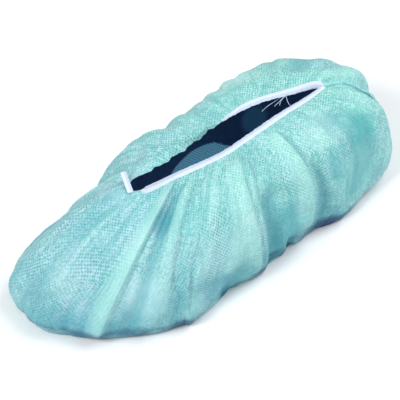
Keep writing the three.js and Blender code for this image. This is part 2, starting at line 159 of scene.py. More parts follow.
fine_creases = [
    # at the slit, at the sole, from, to, width before, width after, rise
    (0.022, 0.044, 0.05, 0.60, 0.008, 0.014, 0.22),
    (0.006, 0.013, 0.20, 0.66, 0.020, 0.022, -1.05),
    (0.032, 0.036, 0.50, 0.90, 0.026, 0.022, 0.85),
    (0.056, 0.060, 0.22, 0.72, 0.014, 0.018, -0.45),
    (0.088, 0.092, 0.16, 0.80, 0.012, 0.012, 0.30),
    (0.118, 0.112, 0.28, 0.66, 0.014, 0.012, -0.50),
    (0.170, 0.168, 0.08, 0.78, 0.004, 0.016, 0.50),
    (0.052, 0.085, 0.06, 0.55, 0.010, 0.010, -0.20),
    (0.108, 0.128, 0.02, 0.50, 0.008, 0.012, 0.26),
    (0.135, 0.142, 0.04, 0.70, 0.007, 0.009, 0.24),
    (0.186, 0.190, 0.02, 0.52, 0.007, 0.009, 0.28),
    (0.206, 0.208, 0.03, 0.46, 0.006, 0.010, -0.26),
    (0.240, 0.232, 0.08, 0.84, 0.004, 0.016, 0.42),
    (0.272, 0.266, 0.03, 0.84, 0.004, 0.014, 0.42),
    (0.284, 0.300, 0.05, 0.62, 0.006, 0.006, -0.24),
    (0.304, 0.318, 0.64, 0.98, 0.022, 0.016, 0.90),
    (0.312, 0.334, 0.02, 0.84, 0.004, 0.016, 0.48),
    (0.330, 0.352, 0.06, 0.66, 0.005, 0.006, -0.22),
    (0.340, 0.360, 0.02, 0.76, 0.005, 0.014, 0.40),
    (0.362, 0.402, 0.05, 0.86, 0.010, 0.009, -0.80),
    (0.414, 0.450, 0.02, 0.72, 0.007, 0.007, -0.14),
    (0.432, 0.448, 0.03, 0.66, 0.003, 0.014, 0.24),
    (0.462, 0.484, 0.03, 0.60, 0.003, 0.012, 0.20),
    (0.470, 0.486, 0.04, 0.60, 0.007, 0.006, -0.12),
    (0.492, 0.515, 0.03, 0.66, 0.004, 0.012, 0.26),
    (0.476, 0.492, 0.06, 0.40, 0.003, 0.006, -0.40),
    (0.506, 0.520, 0.10, 0.52, 0.003, 0.008, -0.40),
    (0.528, 0.546, 0.16, 0.66, 0.003, 0.010, -0.36),
    (0.534, 0.556, 0.10, 0.74, 0.006, 0.008, 0.22),
    (0.630, 0.648, 0.26, 0.80, 0.012, 0.012, -0.42),
    (0.668, 0.676, 0.20, 0.74, 0.008, 0.010, 0.26),
    (0.708, 0.708, 0.16, 0.70, 0.012, 0.012, 0.20),
    (0.746, 0.742, 0.10, 0.66, 0.012, 0.010, 0.45),
    (0.790, 0.786, 0.04, 0.60, 0.010, 0.012, -0.40),
    (0.834, 0.832, 0.04, 0.62, 0.010, 0.012, -0.25),
    (0.880, 0.890, 0.04, 0.70, 0.012, 0.012, -0.40),
    (0.966, 0.990, 0.06, 0.60, 0.008, 0.010, 0.22),
]
pleat_line = (0.378, 0.425)
pleat_width = 0.023
rolled_edge = [
    # round the slit, breadth, rise
    (0.540, 3.00, 0.0),
    (0.580, 2.30, 0.8),
    (0.615, 1.80, 1.0),
    (0.650, 1.20, 1.0),
    (0.690, 0.60, 0.9),
    (0.725, 0.45, 0.7),
    (0.755, 0.40, 0.0),
]


def round_loop(rows, column, place):
    """One column of a closed table at places counted in rows, as a smooth closed line."""
    values = np.array([row[column] for row in rows])
    row = np.floor(place).astype(int)
    t = place - row
    a, b, c, d = (values[(row + step) % len(rows)] for step in (-1, 0, 1, 2))
    bend = (2 * a - 5 * b + 4 * c - d) * t * t + (3 * b - a - 3 * c + d) * t ** 3
    return (2 * b + (c - a) * t + bend) / 2


def paced(rows, toe_row, share):
    """Turns shares round a loop, 0 at the heel and 0.5 at the toe, into places in its table."""
    steps = np.linspace(0, len(rows), len(rows) * 40 + 1)
    line = np.stack([
        round_loop(rows, 0, steps) * cover_length,
        round_loop(rows, 1, steps) * cover_width,
    ])
    walked = np.concatenate([[0], np.cumsum(np.hypot(*np.diff(line, axis=1)))])
    at_toe = np.interp(toe_row, steps, walked)
    u = share % 1
    near = np.interp(u * 2 * at_toe, walked, steps)
    far = np.interp(at_toe + (u * 2 - 1) * (walked[-1] - at_toe), walked, steps)
    return np.where(u < 0.5, near, far)


def down_curve(column, down):
    """One column of the side's curve, as a smooth line through its rows."""
    table = np.array(side_curve)
    places = table[:, 0]
    values = table[:, column]
    last = len(places) - 1
    row = np.clip(np.searchsorted(places, down, side="right") - 1, 0, last - 1)
    before = np.maximum(np.arange(last + 1) - 1, 0)
    after = np.minimum(np.arange(last + 1) + 1, last)
    slope = (values[after] - values[before]) / (places[after] - places[before])
    span = places[row + 1] - places[row]
    t = (down - places[row]) / span
    ends = values[row] + (values[row + 1] - values[row]) * t * t * (3 - 2 * t)
    return ends + span * t * (1 - t) * ((1 - t) * slope[row] - t * slope[row + 1])


def eased(value, start, end):
    """A soft step from 0 at start to 1 at end."""
    t = np.clip((value - start) / (end - start), 0, 1)
    return t * t * (3 - 2 * t)


def smooth_side(share, down):
    """Points of the cover's side before its folds, in metres."""
    slit = paced(slit_edge, slit_toe_row, share)
    sole = paced(sole_line, sole_toe_row, share)
    puffed = round_loop(sole_line, 2, sole)
    out = down_curve(3, down) * (1 - puffed) + down_curve(1, down) * puffed
    drop = down_curve(4, down) * (1 - puffed) + down_curve(2, down) * puffed
    slit_x, slit_y = (round_loop(slit_edge, column, slit) for column in (0, 1))
    sole_x, sole_y = (round_loop(sole_line, column, sole) for column in (0, 1))
    return np.stack([
        (slit_x + (sole_x - slit_x) * out - 0.5) * cover_length,
        (slit_y + (sole_y - slit_y) * out) * cover_width,
        round_loop(slit_edge, 2, slit) * cover_height * (1 - drop),
    ], axis=-1)


def unit(vectors):
    """The same directions at length 1."""
    return vectors / np.linalg.norm(vectors, axis=-1, keepdims=True)


def side_normal(share, down):
    """The direction straight out of the side."""
    step = 0.001
    above = np.maximum(down - step, 0)
    below = np.minimum(down + step, 1)
    along = smooth_side(share + step, down) - smooth_side(share - step, down)
    fall = smooth_side(share, below) - smooth_side(share, above)
    return unit(np.cross(along, fall))


def drifted(column, down):
    """Folds drift round the loop on their way down, and what lies between them goes with them."""
    at_slit = np.array([fold[0] for fold in folds])
    drift = np.array([fold[1] - fold[0] for fold in folds])
    home = column % 1
    ring = np.concatenate([at_slit, [1.0]])
    return column + np.interp(home, ring, np.append(drift, drift[0])) * down


def pleat_share(column):
    """Where a column lies across the knife pleat: 0 at its crisp edge, 1 at its soft one."""
    return ((column - pleat_line[0] + 0.5) % 1 - 0.5) / pleat_width


def fold_rise(column, down):
    """How far the folds lift the fabric, in metres."""
    band = pleat_share(column)
    lip = eased(band, -0.06, 0.04) * (1 - 0.6 * eased(band, 0.04, 0.9)) * (1 - eased(band, 0.94, 1.04))
    rise = pleat_lift * lip * eased(down, 0.03, 0.12) * (1 - eased(down, 0.74, 0.95))
    wander = wander_by * np.sin(down * 9 + column * 60) * eased(down, 0, 0.2) * (1 - eased(down, 0.8, 1))
    column = column + wander * eased(np.abs(band - 0.5), 0.7, 1.6)
    for at_slit, _, start, end, before, after, height in folds + fine_creases:
        offset = (column - at_slit + 0.5) % 1 - 0.5
        reach = np.minimum(np.abs(offset) / np.where(offset < 0, before, after), 1)
        shows = eased(down, start, start + 0.14) * (1 - eased(down, end - 0.14, end))
        rise = rise + height * fold_depth * shows * (1 + np.cos(np.pi * reach)) / 2
    return rise


def roll_height(share, distance):
    """How far the rolled edge stands up, with two fine pleats running along it."""
    at, width, rise = (np.array(values) for values in zip(*rolled_edge))
    home = share % 1
    breadth = np.interp(home, at, width) * roll_width
    height = np.interp(home, at, rise, left=0, right=0) * roll_rise
    across = distance / breadth
    body = eased(across, 0, 0.35) * (1 - eased(across, 0.85, 1.3))
    pleats = 0.30 * np.cos(across * 2 * np.pi * 2.2)
    pleats = pleats * eased(across, 0.1, 0.3) * (1 - eased(across, 0.7, 1.0))
    return height * (body + pleats)


def crumple(share, down):
    """How far the rolled edge is pushed across the slit, where the elastic under it pulls it short."""
    home = share % 1
    bare = eased(home, 0.53, 0.57) * (1 - eased(home, 0.735, 0.765))
    waves = np.sin(home * 2 * np.pi * 21 + 0.6) + 0.6 * np.sin(home * 2 * np.pi * 47 + 1)
    return crumple_by * waves * bare * (1 - eased(down, 0, 0.12))


def fabric(column, down):
    """Points of the folded fabric's outer face, in metres."""
    share = drifted(column, down)
    point = smooth_side(share, down)
    distance = np.linalg.norm(point - smooth_side(share, np.zeros_like(down)), axis=-1)
    lift = fold_rise(column, down) + roll_height(share, distance)
    lift = lift * (1 - eased(down, 0.95, 1))
    point = point + side_normal(share, down) * lift[..., None]
    point[..., 1] += crumple(share, down)
    point[..., 2] = np.maximum(point[..., 2], 0)
    return point


# The sheet starts as a plain grid: columns round the slit, rows from the slit down to the sole, and more
# rows in under the foot. Columns crowd at the pleat's crisp edge. The grid's ends meet at the heel seam.
crisp_edge = (0.3661, 0.3889)
column_shares = np.sort(np.concatenate([
    np.linspace(0, 1, 321),
    np.linspace(*crisp_edge, 20),
]))
side_rows = 62
sole_rows = 12
bpy.ops.object.select_all(action="DESELECT")
bpy.ops.mesh.primitive_grid_add(
    x_subdivisions=len(column_shares) - 1,
    y_subdivisions=side_rows + sole_rows,
    size=2,
)
shell = bpy.context.object
shell.name = "cover_fabric"
places = np.empty(len(shell.data.vertices) * 3)
shell.data.vertices.foreach_get("co", places)
places = places.reshape(-1, 3)
column_at = np.rint((places[:, 0] + 1) / 2 * (len(column_shares) - 1)).astype(int)
row_at = np.rint((places[:, 1] + 1) / 2 * (side_rows + sole_rows)).astype(int)
column = column_shares[column_at]
down = np.minimum(row_at / side_rows, 1.0)
down = down - 0.5 * np.sin(2 * np.pi * down) / (2 * np.pi)
under = np.maximum(row_at - side_rows, 0) / sole_rows
sole_middle = np.array([0.02, 0.0, 0.0])
inward = under[:, None] * np.array([0.62, 0.97, 0])


def with_sole(points):
    """Draws the rows under the foot in towards the middle of the sole."""
    return points + (sole_middle - points) * inward


unfolded = with_sole(smooth_side(drifted(column, down), down))
folded = with_sole(fabric(column, down))

# The tables' middle is a few millimetres off the frame's, and this brings the sheet there.
to_frame = np.array([-0.0060, -0.0009, 0.0])

# Each point remembers where it is on the sheet, because merging the heel seam renumbers the points.
band = pleat_share(column)
remembered = {
    "column": column,
    "down": down,
    "row": row_at,
    "pleat": eased(band, -0.04, 0.04) * (1 - eased(band, 0.9, 1.1)) * eased(down, 0.02, 0.1),
    "rise": fold_rise(column, down) * (1 - eased(down, 0.95, 1)) / fold_depth,
    "folded_x": folded[:, 0] + to_frame[0],
    "folded_y": folded[:, 1] + to_frame[1],
    "folded_z": folded[:, 2] + to_frame[2],
}
for name, values in remembered.items():
    layer = shell.data.attributes.new(name, "FLOAT", "POINT")
    layer.data.foreach_set("value", np.asarray(values, dtype=float))
shell.data.vertices.foreach_set("co", unfolded.ravel())


def on_sheet(name):
    """One remembered value of each point."""
    values = np.empty(len(shell.data.vertices))
    shell.data.attributes[name].data.foreach_get("value", values)
    return values


bpy.ops.object.mode_set(mode="EDIT")
bpy.ops.mesh.select_all(action="SELECT")
bpy.ops.mesh.remove_doubles(threshold=0.000001)
bpy.ops.mesh.select_all(action="DESELECT")
bpy.ops.object.mode_set(mode="OBJECT")
shell.data.vertices.foreach_set("select", on_sheet("row") == side_rows + sole_rows)
bpy.ops.object.mode_set(mode="EDIT")
bpy.ops.mesh.edge_face_add()
bpy.ops.mesh.select_all(action="SELECT")
bpy.ops.object.mode_set(mode="OBJECT")
normals = np.empty(len(shell.data.vertices) * 3)
shell.data.vertices.foreach_get("normal", normals)
if normals.reshape(-1, 3)[on_sheet("row") > side_rows, 2].mean() > 0:
    bpy.ops.object.mode_set(mode="EDIT")
    bpy.ops.mesh.flip_normals()
    bpy.ops.object.mode_set(mode="OBJECT")

# The bonded pattern is laid on the unfolded sheet, so that it follows the folds. It is in metres.
shell.data.uv_layers.remove(shell.data.uv_layers[0])
shell.data.uv_layers.new(name="cloth")
bpy.ops.object.mode_set(mode="EDIT")
bpy.ops.mesh.select_all(action="SELECT")
bpy.ops.uv.cube_project(cube_size=1, correct_aspect=False)
bpy.ops.object.mode_set(mode="OBJECT")
folded = np.stack([on_sheet(name) for name in ("folded_x", "folded_y", "folded_z")], axis=-1)
shell.data.vertices.foreach_set("co", folded.ravel())
shell.data.update()

# The sheet settles as cloth for a moment: it is a little too large for the elastic, so it buckles between
# the slit and the sole, both of which hold still. No point may move further than settle_limit.
settle_limit = 0.003
settle_frames = 14
hold = shell.vertex_groups.new(name="hold")
share_down = on_sheet("down")
share_round = on_sheet("column")
pleat = np.abs(pleat_share(share_round) - 0.5)
toe = np.abs(share_round - 0.46)
firm = np.maximum.reduce([
    1 - eased(share_down, 0.04, 0.20),
    eased(share_down, 0.93, 0.99),
    1 - eased(pleat, 1.6, 3.0),
    (1 - eased(toe, 0.06, 0.12)) * (1 - eased(share_down, 0.30, 0.55)),
    1 - eased(np.abs((share_round + 0.5) % 1 - 0.5), 0.004, 0.012),
    np.full_like(share_down, 0.15),
])
for level in np.unique(np.round(firm, 2)):
    members = np.nonzero(np.round(firm, 2) == level)[0].tolist()
    hold.add(members, float(level), "REPLACE")
cloth = shell.modifiers.new("settle", "CLOTH")
cloth.point_cache.frame_start = 1
cloth.point_cache.frame_end = settle_frames
cloth.settings.quality = 5
cloth.settings.mass = 0.02
cloth.settings.air_damping = 4
cloth.settings.tension_stiffness = 12
cloth.settings.compression_stiffness = 12
cloth.settings.shear_stiffness = 4
cloth.settings.bending_stiffness = 0.6
cloth.settings.vertex_group_mass = "hold"
cloth.settings.pin_stiffness = 1.0
cloth.settings.shrink_min = -0.035
cloth.settings.use_pressure = True
cloth.settings.uniform_pressure_force = 0.05
cloth.settings.effector_weights.gravity = 0
calm = shell.modifiers.new("calm", "SMOOTH")
calm.factor = 0.3
calm.iterations = 2
calm.vertex_group = "hold"
calm.invert_vertex_group = True
for number in range(1, settle_frames + 1):
    bpy.context.scene.frame_set(number)
settled_mesh = shell.evaluated_get(bpy.context.evaluated_depsgraph_get()).data
settled = np.empty(len(settled_mesh.vertices) * 3)
settled_mesh.vertices.foreach_get("co", settled)
shell.modifiers.remove(cloth)
shell.modifiers.remove(calm)
bpy.context.scene.frame_set(1)
moved = settled.reshape(-1, 3) - folded
moved_by = np.linalg.norm(moved, axis=1, keepdims=True)
moved = moved * np.minimum(1, settle_limit / np.maximum(moved_by, 0.000001))
folded = folded + moved
folded[:, 2] = np.maximum(folded[:, 2], 0)
shell.data.vertices.foreach_set("co", folded.ravel())
shell.data.update()


class Wire:
    """A value in a material's nodes. Arithmetic on it adds the Math nodes that it needs."""

    def __init__(self, tree, socket=None):
        self.tree = tree
        self.socket = socket

    def node(self, kind, settings, sockets, output=0):
        """Adds a node with its settings first and then the values or links of its sockets."""
        added = self.tree.nodes.new(kind)
        for name, value in settings.items():
            setattr(added, name, value)
        for name, value in sockets.items():
            if isinstance(value, Wire):
                self.tree.links.new(value.socket, added.inputs[name])
            else:
                added.inputs[name].default_value = value
        return Wire(self.tree, added.outputs[output]) if added.outputs else added

    def maths(self, operation, *values):
        return self.node("ShaderNodeMath", {"operation": operation}, dict(enumerate(values)))

    def __add__(self, other):
        return self.maths("ADD", self, other)

    def __mul__(self, other):
        return self.maths("MULTIPLY", self, other)

    def __sub__(self, other):
        return self.maths("SUBTRACT", self, other)

    def __rsub__(self, other):
        return self.maths("SUBTRACT", other, self)

    __radd__ = __add__
    __rmul__ = __mul__

    def cos(self):
        return self.maths("COSINE", self)

    def step(self, start, end):
        """A soft step from 0 at start to 1 at end."""
        settings = {"interpolation_type": "SMOOTHSTEP", "clamp": True}
        sockets = {"Value": self, "From Min": start, "From Max": end}
        return self.node("ShaderNodeMapRange", settings, sockets)

    def blend(self, first, second):
        """Mixes two colours, with this value as the share of the second."""
        sockets = {0: self, 6: first, 7: second}
        return self.node("ShaderNodeMix", {"data_type": "RGBA"}, sockets, 2)

    def axis(self, number):
        """One coordinate of a place: 0, 1 or 2."""
        return self.node("ShaderNodeSeparateXYZ", {}, {"Vector": self}, number)

    def noise(self, scale, detail, roughness=0.5, distortion=0):
        """Soft noise from 0 to 1 over a place."""
        sockets = {"Vector": self, "Scale": scale, "Detail": detail}
        sockets = sockets | {"Roughness": roughness, "Distortion": distortion}
        return self.node("ShaderNodeTexNoise", {}, sockets)

    def point_value(self, name):
        """A value that the points of the mesh remember."""
        return self.node("ShaderNodeAttribute", {"attribute_name": name}, {}, 2)

    def here(self):
        """The place of each point, in metres."""
        return self.node("ShaderNodeTexCoord", {}, {}, "Object")


def started(name):
    """A new material and an empty wire into its nodes."""
    material = bpy.data.materials.new(name)
    material.use_nodes = True
    material.node_tree.nodes.clear()
    return material, Wire(material.node_tree)


def finished(wire, sockets):
    """Ends a material in one shader with the given sockets."""
    surface = wire.node("ShaderNodeBsdfPrincipled", {}, sockets)
    wire.node("ShaderNodeOutputMaterial", {}, {"Surface": surface})


def shade_of(red, green, blue):
    """A screen colour, 0 to 255, as a colour for a material."""
    def linear(value):
        value = value / 255
        return value / 12.92 if value <= 0.04045 else ((value + 0.055) / 1.055) ** 2.4
    return (linear(red), linear(green), linear(blue), 1.0)


bond_pitch = 0.0028
bonds_pulled = 0.0022


def bonded_sheet(wire):
    """The grid of bonded dots, from -1 to 1, and the clouds of fibre between them, from 0 to 1."""
    cloth = wire.node("ShaderNodeUVMap", {"uv_map": "cloth"}, {})
    place = wire.here()
    pulled = place.noise(70, 2) * bonds_pulled
    turn = 2 * math.pi / bond_pitch
    dots = ((cloth.axis(0) + pulled) * turn).cos() * ((cloth.axis(1) - pulled) * turn).cos()
    cloud = place.noise(420, 4, 0.7)
    return dots, cloud, place


def patch_at(wire, place, middle, size, solid):
    """A patch of the fabric within an ellipsoid: 1 in its solid part and less towards its rim."""
    apart = wire.node("ShaderNodeVectorMath", {"operation": "SUBTRACT"}, {0: place, 1: middle})
    apart = wire.node("ShaderNodeVectorMath", {"operation": "DIVIDE"}, {0: apart, 1: size})
    apart = wire.node("ShaderNodeVectorMath", {"operation": "LENGTH"}, {0: apart}, 1)
    return 1 - apart.step(solid, 1.04)


outside, wire = started("bonded_fabric_outside")
dots, cloud, place = bonded_sheet(wire)
soft = place.noise(34, 3)
patches = place.noise(13, 2)
mottling = place.noise(52, 4, 0.6)
pleat_mask = wire.point_value("pleat")
rise = wire.point_value("rise")
round_slit = wire.point_value("column")
down_side = wire.point_value("down")
along_folds = wire.node("ShaderNodeCombineXYZ", {}, {0: round_slit * 75, 1: down_side * 2.4})
fold_shade_noise = along_folds.noise(1, 2)
crease_shade_noise = along_folds.noise(0.9, 3, distortion=1.2)
along_foot = place.axis(0)
across_foot = place.axis(1)

# The sheet is greener from the middle back to the heel, bluer at the toe, with pale clouds of fibre.
fabric_colour_and_painted_shade = along_foot.step(-0.13, 0.05).blend(shade_of(136, 194, 200), shade_of(126, 205, 192))
fabric_colour_and_painted_shade = (patches.step(0.40, 0.60) * 0.5).blend(fabric_colour_and_painted_shade, shade_of(128, 194, 202))
fabric_colour_and_painted_shade = (pleat_mask * 0.75).blend(fabric_colour_and_painted_shade, shade_of(144, 208, 205))
haze = cloud.step(0.40, 0.62) * (1 - pleat_mask * 0.5)
fabric_colour_and_painted_shade = (haze * 0.72).blend(fabric_colour_and_painted_shade, shade_of(194, 229, 231))
lavender = mottling.step(0.46, 0.62) * (1 - along_foot.step(-0.06, 0.06) * 0.6) * 0.30
fabric_colour_and_painted_shade = lavender.blend(fabric_colour_and_painted_shade, shade_of(186, 206, 226))

# The bonded dots are darker, and show best on the ball and least on the pleat and the heel.
ball = patch_at(wire, place, (-0.040, -0.070, 0.048), (0.044, 0.032, 0.042), 0.3)
bonds_show = (0.34 + soft.step(0.38, 0.62) * 0.46) * (0.7 + cloud.step(0.60, 0.42) * 0.5)
bonds_show = bonds_show * (1 - pleat_mask * 0.4) * (1 - along_foot.step(0.10, 0.15) * 0.35)
bonds_show = bonds_show * (1 + ball * 0.7)
fabric_colour_and_painted_shade = (dots.step(-0.1, 0.7) * bonds_show).blend(fabric_colour_and_painted_shade, shade_of(66, 150, 158))

# Painted shade: darker streaks and fine dark crease lines run with the folds, from the slit down to the
# sole, standing in for the shade in the folds.
painted_fold_shade = fold_shade_noise.step(0.42, 0.60) * (1 - along_foot.step(0.03, 0.09) * 0.8 - pleat_mask * 0.7)
fabric_colour_and_painted_shade = (painted_fold_shade * 0.34).blend(fabric_colour_and_painted_shade, shade_of(82, 168, 174))
painted_crease_shade = crease_shade_noise.step(0.465, 0.495) * (1 - crease_shade_noise.step(0.495, 0.525))
fabric_colour_and_painted_shade = (painted_crease_shade * (1 - pleat_mask * 0.6) * 0.38).blend(fabric_colour_and_painted_shade, shade_of(64, 150, 160))

# Painted light and shade: pale patches stand for light falling on the fabric and dark ones for shade,
# such as the shadow beside the pleat.
painted_light_and_shade_patches = [
    # middle, size, share, colour
    ((0.090, -0.034, 0.087), (0.034, 0.022, 0.020), 0.22, (206, 236, 240)),
    ((0.062, 0.060, 0.085), (0.040, 0.024, 0.024), 0.40, (200, 236, 232)),
    ((-0.140, -0.010, 0.052), (0.030, 0.030, 0.026), 0.16, (200, 226, 232)),
    ((-0.034, -0.068, 0.054), (0.030, 0.026, 0.030), 0.22, (194, 234, 238)),
    ((-0.100, -0.056, 0.042), (0.024, 0.022, 0.024), 0.62, (196, 234, 238)),
    ((-0.052, -0.044, 0.088), (0.024, 0.020, 0.020), 0.25, (96, 188, 184)),
    ((0.128, -0.046, 0.074), (0.018, 0.024, 0.024), 0.55, (70, 188, 172)),
    ((0.114, -0.060, 0.044), (0.032, 0.026, 0.028), 0.50, (150, 230, 218)),
    ((-0.150, -0.034, 0.020), (0.026, 0.030, 0.020), 0.25, (124, 178, 206)),
    ((0.089, -0.061, 0.068), (0.014, 0.020, 0.022), 0.38, (90, 172, 188)),
    ((0.031, -0.063, 0.040), (0.020, 0.022, 0.032), 0.60, (60, 168, 174)),
    ((-0.034, -0.076, 0.022), (0.028, 0.018, 0.022), 0.50, (66, 158, 178)),
    ((-0.066, -0.031, 0.080), (0.018, 0.016, 0.020), 0.60, (58, 146, 164)),
]
for middle, size, share, tint in painted_light_and_shade_patches:
    patch = patch_at(wire, place, middle, size, 0.3)
    fabric_colour_and_painted_shade = (patch * share).blend(fabric_colour_and_painted_shade, shade_of(*tint))

# Painted shade and highlight: valleys are painted deeper in colour and crests paler, and the sides are
# painted darker towards the floor, most where the fabric tucks in under the foot, with a dark patch under
# the waist.
fabric_colour_and_painted_shade = ((1 - rise).step(1.05, 1.80) * 0.5).blend(fabric_colour_and_painted_shade, shade_of(62, 154, 166))
fabric_colour_and_painted_shade = (rise.step(0.15, 0.80) * 0.35).blend(fabric_colour_and_painted_shade, shade_of(184, 236, 228))
near_side = 1 - across_foot.step(-0.02, 0.02) * 0.7
heel_end = along_foot.step(0.08, 0.12)
painted_low_shade = down_side.step(0.42, 0.84) * (0.30 + soft.step(0.38, 0.66) * 0.42)
painted_low_shade = painted_low_shade * (0.3 + near_side * 0.7)
painted_low_shade = painted_low_shade * (1 - heel_end * 0.5) * (1 - pleat_mask * 0.6)
fabric_colour_and_painted_shade = painted_low_shade.blend(fabric_colour_and_painted_shade, shade_of(54, 148, 166))
painted_tuck_shade = down_side.step(0.75, 0.81) * (0.12 + soft.step(0.40, 0.60) * 0.70) * near_side
fabric_colour_and_painted_shade = painted_tuck_shade.blend(fabric_colour_and_painted_shade, shade_of(8, 78, 112))
# Painted shade: a deep blue patch where the fabric tucks under the waist.
painted_under_waist_shade = patch_at(wire, place, (0.074, -0.066, 0.004), (0.032, 0.016, 0.013), 0.35)
fabric_colour_and_painted_shade = (painted_under_waist_shade * 0.85).blend(fabric_colour_and_painted_shade, shade_of(4, 52, 104))

# The dots are pressed into the fibres, and the whole sheet is crinkled.
relief = wire.node("ShaderNodeBump", {}, {
    "Strength": 0.55, "Distance": 0.0002, "Height": cloud * 1.2 - dots.step(0.0, 0.9) * 0.6,
})
relief = wire.node("ShaderNodeBump", {}, {
    "Strength": 0.8, "Distance": 0.0016, "Height": place.noise(95, 3, 0.55), "Normal": relief,
})
finished(wire, {
    "Base Color": fabric_colour_and_painted_shade, "Roughness": 0.75, "Normal": relief,
    "Sheen Weight": 0.08, "Sheen Roughness": 0.5,
})

inside, wire = started("bonded_fabric_inside_painted_shade_and_glow")
dots, cloud, place = bonded_sheet(wire)

# Painted shade and painted light: the inner face is dark navy for the deep shade inside the cover, and it
# glows dimly by emission, most where it is puffed up from the sole in two places.
puffed = patch_at(wire, place, (0.043, 0.058, 0.0), (0.034, 0.016, 0.016), 0.94)
painted_glow_behind = patch_at(wire, place, (0.107, 0.070, 0.008), (0.015, 0.014, 0.016), 0.60)
glow = cloud.step(0.3, 0.7).blend(shade_of(10, 22, 40), shade_of(15, 32, 54))
glow = (painted_glow_behind * 0.35).blend(glow, shade_of(34, 76, 102))
glow = puffed.blend(glow, dots.step(-0.3, 0.8).blend(shade_of(74, 122, 144), shade_of(34, 72, 96)))
finished(wire, {
    "Base Color": shade_of(40, 66, 108), "Roughness": 0.85,
    "Emission Color": glow, "Emission Strength": 1.0,
})

shell.data.materials.append(outside)
shell.data.materials.append(inside)

# The sheet gets its thickness inwards. Its inner face takes the second material, with its painted shade
# and painted glow.
bpy.ops.object.select_all(action="DESELECT")
shell.select_set(True)
bpy.context.view_layer.objects.active = shell
thick = shell.modifiers.new("thickness", "SOLIDIFY")
thick.thickness = sheet_thickness
thick.offset = -1
thick.use_rim = True
thick.material_offset = 1
bpy.ops.object.modifier_apply(modifier=thick.name)
bpy.ops.object.shade_smooth()

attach(shell, "root")
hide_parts("cover_body")


# The binding: a ribbed white elastic tape, sewn round the slit over the fabric's raw edge. It starts
# beside the bar, turns round the slit's rear end and slips under the rolled edge on the far side.
tape_width = 0.005
tape_thickness = 0.0009
tape_seat = 0.00025
rib_pitch = 0.00085
binding_from = 0.463
binding_to = -0.238


def strip(name, length_steps, width_steps, points, length):
    """A strip of tape: a plain grid whose points are moved to the given ones, with a map in metres."""
    bpy.ops.object.select_all(action="DESELECT")
    bpy.ops.mesh.primitive_grid_add(x_subdivisions=length_steps, y_subdivisions=width_steps, size=2)
    piece = bpy.context.object
    piece.name = name
    grid = np.empty(len(piece.data.vertices) * 3)
    piece.data.vertices.foreach_get("co", grid)
    grid = grid.reshape(-1, 3)
    step = np.rint((grid[:, 0] + 1) / 2 * length_steps).astype(int)
    side = np.rint((grid[:, 1] + 1) / 2 * width_steps).astype(int)
    piece.data.vertices.foreach_set("co", points[step, side].ravel())
    piece.data.update()
    piece.data.uv_layers[0].name = "tape"
    flat = np.empty(len(piece.data.loops) * 2)
    piece.data.uv_layers["tape"].data.foreach_get("uv", flat)
    flat = flat.reshape(-1, 2) * np.array([length, tape_width])
    piece.data.uv_layers["tape"].data.foreach_set("uv", flat.ravel())
    return piece


def thickened(piece, amount, edge):
    """Gives a strip its thickness upwards and rounds its edges."""
    bpy.ops.object.select_all(action="DESELECT")
    piece.select_set(True)
    bpy.context.view_layer.objects.active = piece
    thick = piece.modifiers.new("thickness", "SOLIDIFY")
    thick.thickness = amount
    thick.offset = 1
    bpy.ops.object.modifier_apply(modifier=thick.name)
    rounded = piece.modifiers.new("rounded", "BEVEL")
    rounded.width = edge
    rounded.segments = 2
    rounded.limit_method = "ANGLE"
    rounded.angle_limit = math.radians(50)
    bpy.ops.object.modifier_apply(modifier=rounded.name)
    bpy.ops.object.shade_smooth_by_angle(angle=math.radians(50))


def facing_up(piece):
    """Turns a strip over if its faces look down."""
    heights = np.empty(len(piece.data.polygons) * 3)
    piece.data.polygons.foreach_get("normal", heights)
    if heights.reshape(-1, 3)[:, 2].mean() < 0:
        bpy.ops.object.mode_set(mode="EDIT")
        bpy.ops.mesh.select_all(action="SELECT")
        bpy.ops.mesh.flip_normals()
        bpy.ops.object.mode_set(mode="OBJECT")


def laid_on_fabric(shares, edge, offsets):
    """Points on the fabric beside the slit, a row for each share, at distances from the slit's edge."""
    downs = np.linspace(0, 0.25, 40)
    rows = fabric(shares[:, None] + 0 * downs, downs + 0 * shares[:, None]) + to_frame
    walked = np.stack([np.linalg.norm(rows - corner, axis=2) for corner in edge]).min(axis=0)
    walked = np.maximum.accumulate(walked, axis=1)
    laid = np.empty((len(shares), offsets.shape[1], 3))
    for number, row in enumerate(rows):
        on_fabric = np.maximum(offsets[number], 0)
        for axis in range(3):
            laid[number, :, axis] = np.interp(on_fabric, walked[number], row[:, axis])
        past_edge = np.minimum(offsets[number], 0)
        laid[number] += past_edge[:, None] * unit(row[3] - row[0])
    return laid


tape_steps = 420
tape_sides = 8
tape_shares = np.linspace(binding_from, binding_to, tape_steps + 1)
edge_line = fabric(tape_shares, np.zeros(tape_steps + 1)) + to_frame
edge_walk = np.concatenate([[0], np.cumsum(np.linalg.norm(np.diff(edge_line, axis=0), axis=1))])
wave = 0.00022 * np.sin(edge_walk * 2 * np.pi / 0.011)
wave = wave + 0.00016 * np.sin(edge_walk * 2 * np.pi / 0.0047 + 1)
across = np.linspace(0, 1, tape_sides + 1)
slips_under = 1 - 0.7 * eased(-tape_shares, 0.170, 0.236)[:, None]
offsets = -0.0004 + wave[:, None] * (1 - across) + tape_width * slips_under * across
tape_points = laid_on_fabric(tape_shares, edge_line[::2], offsets)
tape_along = unit(np.gradient(edge_line, axis=0))
tape_across = unit(tape_points[:, -1] - tape_points[:, 0])
tape_up = unit(np.cross(tape_along, tape_across))
tape_up = tape_up * np.sign(tape_up[:, 2:3])
crown = tape_seat + 0.00018 * np.sin(np.pi * across) ** 0.5
crown = crown - 0.00022 * np.exp(-((across - 0.5) / 0.07) ** 2)
crown = crown - 0.0008 * across ** 4
tape_points = tape_points + tape_up[:, None, :] * crown[None, :, None]
binding = strip("binding_tape", tape_steps, tape_sides, tape_points, edge_walk[-1])
facing_up(binding)
thickened(binding, tape_thickness, 0.0003)

